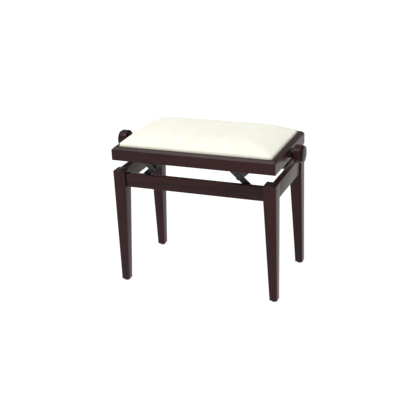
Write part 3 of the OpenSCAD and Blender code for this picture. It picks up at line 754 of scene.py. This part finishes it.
class BENCH_OT_stage(bpy.types.Operator):
    """Camera, floor and soft lights"""

    bl_idname = "bench.stage"
    bl_label = "Stage"

    def execute(self, context):
        s = context.scene.bench_stage
        self.camera(context, s)
        self.floor(s)
        self.studio(context, s)
        # The plain sRGB curve, so that white paper comes out white
        context.scene.view_settings.view_transform = "Standard"
        self.light("key", (-1.1, -1.3, 3.2), 1.5, s.key_power)
        self.light("front", (-1.3, -3.2, 1.7), 0.7, s.front_power)
        return {"FINISHED"}

    def camera(self, context, s):
        """Camera turned by yaw about Z, then pitched down, then rolled about its own view."""
        camera = bpy.data.objects.new("camera", bpy.data.cameras.new("camera"))
        yaw, pitch, roll = s.camera_turn
        turn = (Matrix.Rotation(yaw, 4, "Z") @ Matrix.Rotation(math.pi / 2 - pitch, 4, "X")
                @ Matrix.Rotation(roll, 4, "Z"))
        camera.matrix_world = Matrix.Translation(s.camera_place) @ turn
        camera.data.lens = s.lens
        camera.data.sensor_width = 36
        context.scene.collection.objects.link(camera)
        context.scene.camera = camera

    def studio(self, context, s):
        """Walls that brighten evenly from the horizon to the ceiling."""
        world = bpy.data.worlds.new("studio")
        world.use_nodes = True
        tree = world.node_tree
        place = add_node(tree, "ShaderNodeTexCoord").outputs["Generated"]
        height = add_node(tree, "ShaderNodeSeparateXYZ", {"Vector": place}).outputs["Z"]
        # Squared, so that the walls stay dark well above the horizon
        risen = add_node(tree, "ShaderNodeMath", {0: height}, operation="MAXIMUM", inputs={1: 0.0}).outputs[0]
        squared = add_node(tree, "ShaderNodeMath", {0: risen}, operation="POWER", inputs={1: 2.0}).outputs[0]
        level = add_node(tree, "ShaderNodeMapRange", {"Value": squared},
                         inputs={"To Min": s.horizon, "To Max": s.overhead})
        tree.links.new(level.outputs["Result"], tree.nodes["Background"].inputs["Strength"])
        tree.nodes["Background"].inputs["Color"].default_value = (1, 1, 1, 1)
        context.scene.world = world

    def floor(self, s):
        """Round floor with a low rim: rings of points whose radius grows by the same factor from ring
        to ring, and one last ring above the outermost."""
        rings, columns, inside, outside, rim = 26, 64, 0.02, 60.0, 14.0
        radius = np.append(np.geomspace(inside, outside, rings - 1), outside)[:, None]
        height = np.append(np.zeros(rings - 1), rim)[:, None]
        t = np.linspace(0, 2 * math.pi, columns, endpoint=False)[None, :]
        flat = radius * np.cos(t), radius * np.sin(t)
        points = np.stack([*flat, np.broadcast_to(height, (rings, columns))], -1)
        mesh = bpy.data.meshes.new("floor")
        mesh.from_pydata(points.reshape(-1, 3).tolist(), [],
                         grid_faces(rings, columns, True)[:, ::-1].tolist() + [list(range(columns))])
        floor = bpy.data.objects.new("floor", mesh)
        bpy.context.scene.collection.objects.link(floor)
        # A shadowless table: opal acrylic, lit from below
        material, _, _ = new_material("opal_acrylic", **{
            "Roughness": 0.9, "Specular IOR Level": 0.1, "Base Color": linear(s.floor),
            "Emission Color": (1, 1, 1, 1), "Emission Strength": s.floor_glow})
        mesh.materials.append(material)
        floor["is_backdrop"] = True

    def light(self, name, place, size, power):
        """Square soft light that looks at the middle of the bench."""
        data = bpy.data.lights.new(name, "AREA")
        data.shape = "SQUARE"
        data.size = size
        data.energy = power
        lamp = bpy.data.objects.new(name, data)
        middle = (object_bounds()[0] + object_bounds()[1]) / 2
        aim = middle - type(middle)(place)
        lamp.matrix_world = Matrix.Translation(place) @ aim.to_track_quat("-Z", "Y").to_matrix().to_4x4()
        bpy.context.scene.collection.objects.link(lamp)


class BENCH_OT_legs(bpy.types.Operator):
    """The four tapered legs"""

    bl_idname = "bench.legs"
    bl_label = "Legs"

    def execute(self, context):
        s = context.scene.bench_wood
        for side in SIDES:
            for end in ENDS:
                node = f"leg_{side}_{end}"
                leg = tapered_leg(f"tapered_{node}", *corners(node), s.foot_width, s.square_top,
                                  s.edge_radius)
                finish_piece(leg, finish("stained_beech_z"), node)
        return {"FINISHED"}


class BENCH_OT_base_rails(bpy.types.Operator):
    """The four rails between the legs"""

    bl_idname = "bench.base_rails"
    bl_label = "Base rails"

    def execute(self, context):
        s = context.scene.bench_wood
        for where in [*SIDES, *ENDS]:
            node = f"base_rail_{where}"
            axis = 0 if where in SIDES else 1
            rail = eased_bar(f"eased_{node}", *corners(node), axis, s.edge_radius)
            finish_piece(rail, finish(f"stained_beech_{'xy'[axis]}"), node)
        return {"FINISHED"}


class BENCH_OT_seat_frame(bpy.types.Operator):
    """The four mitred rails round the cushion"""

    bl_idname = "bench.seat_frame"
    bl_label = "Seat frame"

    def execute(self, context):
        s = context.scene.bench_wood
        low, high = corners("seat_rail_front")
        half = (high[0], -low[1])
        thickness = high[1] - low[1]
        bottom, top = low[2], high[2]
        rebate = corners("cushion_cover")[0][2]
        # The radii follow the corners: the chamfer's two are soft, those by the cushion are crisp
        section = rounded_outline(
            [(0, bottom), (0, top - s.chamfer), (s.chamfer, top), (s.border, top),
             (s.border, rebate), (thickness, rebate), (thickness, bottom)],
            [s.edge_radius, 2.5 * MM, 2.5 * MM, 0.8 * MM, 0.4 * MM, 0.6 * MM, s.edge_radius])
        bush_low, bush_high = corners("spindle_bushes")
        bush_z = (bush_low[2] + bush_high[2]) / 2
        for where, sign in [*SIDES.items(), *ENDS.items()]:
            axis = 0 if where in SIDES else 1
            node = f"seat_rail_{where}"
            rail = mitred_rail(f"mitred_{node}", section, half[axis], half[1 - axis], axis, sign)
            if axis == 1:
                # The bush's hole goes from inside the frame to past its outer face
                inside, outside = half[0] - 2 * thickness, half[0] + thickness
                drill(rail, lathe("bush_drill", [(s.bush_hole / 2, inside), (s.bush_hole / 2, outside)],
                                  bush_z, sign, 64))
            finish_piece(rail, finish(f"stained_beech_{'xy'[axis]}"), node)
        return {"FINISHED"}


class BENCH_OT_cushion(bpy.types.Operator):
    """The stuffed cushion, and its cloth turned under the board"""

    bl_idname = "bench.cushion"
    bl_label = "Cushion"

    def execute(self, context):
        s = context.scene.bench_cushion
        low, high = corners("cushion_cover")
        board_low = corners("cushion_board")[0]
        frame_top = corners("seat_rail_front")[1][2]
        tight, sunk = 0.6 * MM, 1 * MM
        pad = crowned_pad("stuffed_cushion", (high[0] - tight, high[1] - tight), board_low[2] + sunk,
                          frame_top + s.edge_rise, s.crown_rise, (s.end_slope, s.slope_width), s.corner)
        remeshed(pad, s.voxel)
        swell(pad, s, frame_top)
        divide = pad.modifiers.new("fine", "SUBSURF")
        divide.levels = divide.render_levels = 1
        finish_piece(pad, finish("ivory_velvet"), ["cushion_cover", "cushion_foam"])
        self.hem(low, high, board_low)
        return {"FINISHED"}

    def hem(self, low, high, board_low):
        """Cloth turned under the board: the loop between two outlines, closed above, below and inside."""
        width, corner = 14 * MM, 5 * MM
        outlines = []
        for z, inset in [(low[2], 0), (low[2], width), (board_low[2], width), (board_low[2], 0)]:
            outline = soft_rectangle(low[:2], high[:2], corner, inset)
            outlines.append(np.insert(outline, 2, z, axis=1))
        rings = np.array(outlines)
        faces = grid_faces(5, rings.shape[1], True) % (4 * rings.shape[1])
        hem = add_object("turned_hem", rings, faces)
        finish_piece(hem, finish("ivory_velvet"), "cushion_cover")


class BENCH_OT_spindle(bpy.types.Operator):
    """The spindle with its two threads"""

    bl_idname = "bench.spindle"
    bl_label = "Spindle"

    def execute(self, context):
        s = context.scene.bench_metal
        plain_middle, plain_end = 44 * MM, 190 * MM
        rod = threaded_rod("threaded_spindle", *corners("spindle"), s, plain_middle, plain_end)
        finish_piece(rod, finish("zinc_plate"), "spindle")
        return {"FINISHED"}


class BENCH_OT_knobs(bpy.types.Operator):
    """The two turned knobs"""

    bl_idname = "bench.knobs"
    bl_label = "Knobs"

    def execute(self, context):
        s = context.scene.bench_knob
        for end, sign in ENDS.items():
            node = f"knob_{end}"
            low, high = corners(node)
            face = min(abs(low[0]), abs(high[0]))
            axis_z = (low[2] + high[2]) / 2
            knob = lathe(f"turned_{node}", knob_outline(s) + [0, face], axis_z, sign, 128)
            finish_piece(knob, finish("stained_beech_x"), node)
        return {"FINISHED"}


class BENCH_OT_linkage(bpy.types.Operator):
    """The arms, bars, nuts, pins and rings of the lifting linkage"""

    bl_idname = "bench.linkage"
    bl_label = "Linkage"

    def execute(self, context):
        arms = [n for n in NODES if "_arm_" in n]
        rings = [n for n in NODES if "rings" in n]
        bars = [n for n in NODES if n.startswith("middle_bar") or n.endswith("pivot_pins")]
        nuts = [n for n in NODES if n.startswith("spindle_nut")]
        plates = ["base_brackets", "seat_brackets"]
        ease_all([
            (arms, 0.6 * MM, "black_powder_coat", "black_steel"),
            (plates, 0.5 * MM, "black_powder_coat", "black_steel"),
            (rings, 0.15 * MM, "black_powder_coat", "black_steel"),
            (bars, 0.5 * MM, "blackened_steel", "black_steel"),
            (nuts, 0.5 * MM, "machined_brass", "nut_brass"),
        ])
        return {"FINISHED"}


class BENCH_OT_fittings(bpy.types.Operator):
    """Bushes, collars, washers, screws and glides"""

    bl_idname = "bench.fittings"
    bl_label = "Fittings"

    def execute(self, context):
        ease_all([
            (["spindle_bushes", "knob_set_screws"], 0.4 * MM, "black_powder_coat", "black_steel"),
            (["spindle_collars", "thrust_washers"], 0.3 * MM, "zinc_plate", "zinc_steel"),
            (["base_bracket_screws", "seat_bracket_screws", "board_screws"], 0.15 * MM, "zinc_plate",
             "zinc_steel"),
            (["foot_glides"], 0.4 * MM, "moulded_nylon", "glide_plastic"),
        ])
        return {"FINISHED"}


class BENCH_OT_joinery(bpy.types.Operator):
    """Wood inside the bench: blocks, dowels, cleats and the cushion board"""

    bl_idname = "bench.joinery"
    bl_label = "Joinery"

    def execute(self, context):
        ease_all([
            (["glue_blocks", "seat_corner_blocks"], 0.6 * MM, "stained_beech_z", "dark_wood"),
            (["board_cleats"], 0.6 * MM, "planed_beech", "plain_wood"),
        ])
        for node, material in [("rail_dowels", "planed_beech"), ("cushion_board", "birch_plywood")]:
            piece = NODES[node]
            piece.data.materials.clear()
            piece.data.materials.append(finish(material))
        return {"FINISHED"}


class BENCH_PT_pieces(bpy.types.Panel):
    """The operators that build the bench, in order"""

    bl_idname = "BENCH_PT_pieces"
    bl_label = "Piano bench"
    bl_space_type = "VIEW_3D"
    bl_region_type = "UI"
    bl_category = "Bench"

    def draw(self, context):
        for operator in OPERATORS:
            self.layout.operator(operator.bl_idname)


# ---------------------------------------------------------------- registering and running


SETTINGS = {
    "bench_wood": BenchWoodSettings,
    "bench_cushion": BenchCushionSettings,
    "bench_knob": BenchKnobSettings,
    "bench_metal": BenchMetalSettings,
    "bench_stage": BenchStageSettings,
}
OPERATORS = [BENCH_OT_stage, BENCH_OT_legs, BENCH_OT_base_rails, BENCH_OT_seat_frame, BENCH_OT_cushion,
             BENCH_OT_spindle, BENCH_OT_knobs, BENCH_OT_linkage, BENCH_OT_fittings, BENCH_OT_joinery]
CLASSES = [*SETTINGS.values(), *OPERATORS, BENCH_PT_pieces]


def register():
    for item in CLASSES:
        bpy.utils.register_class(item)
    for name, item in SETTINGS.items():
        setattr(bpy.types.Scene, name, PointerProperty(type=item))


def unregister():
    for name in SETTINGS:
        delattr(bpy.types.Scene, name)
    for item in reversed(CLASSES):
        bpy.utils.unregister_class(item)


def main():
    register()
    for operator in OPERATORS:
        getattr(bpy.ops.bench, operator.bl_idname.split(".")[1])()


if __name__ == "__main__":
    main()
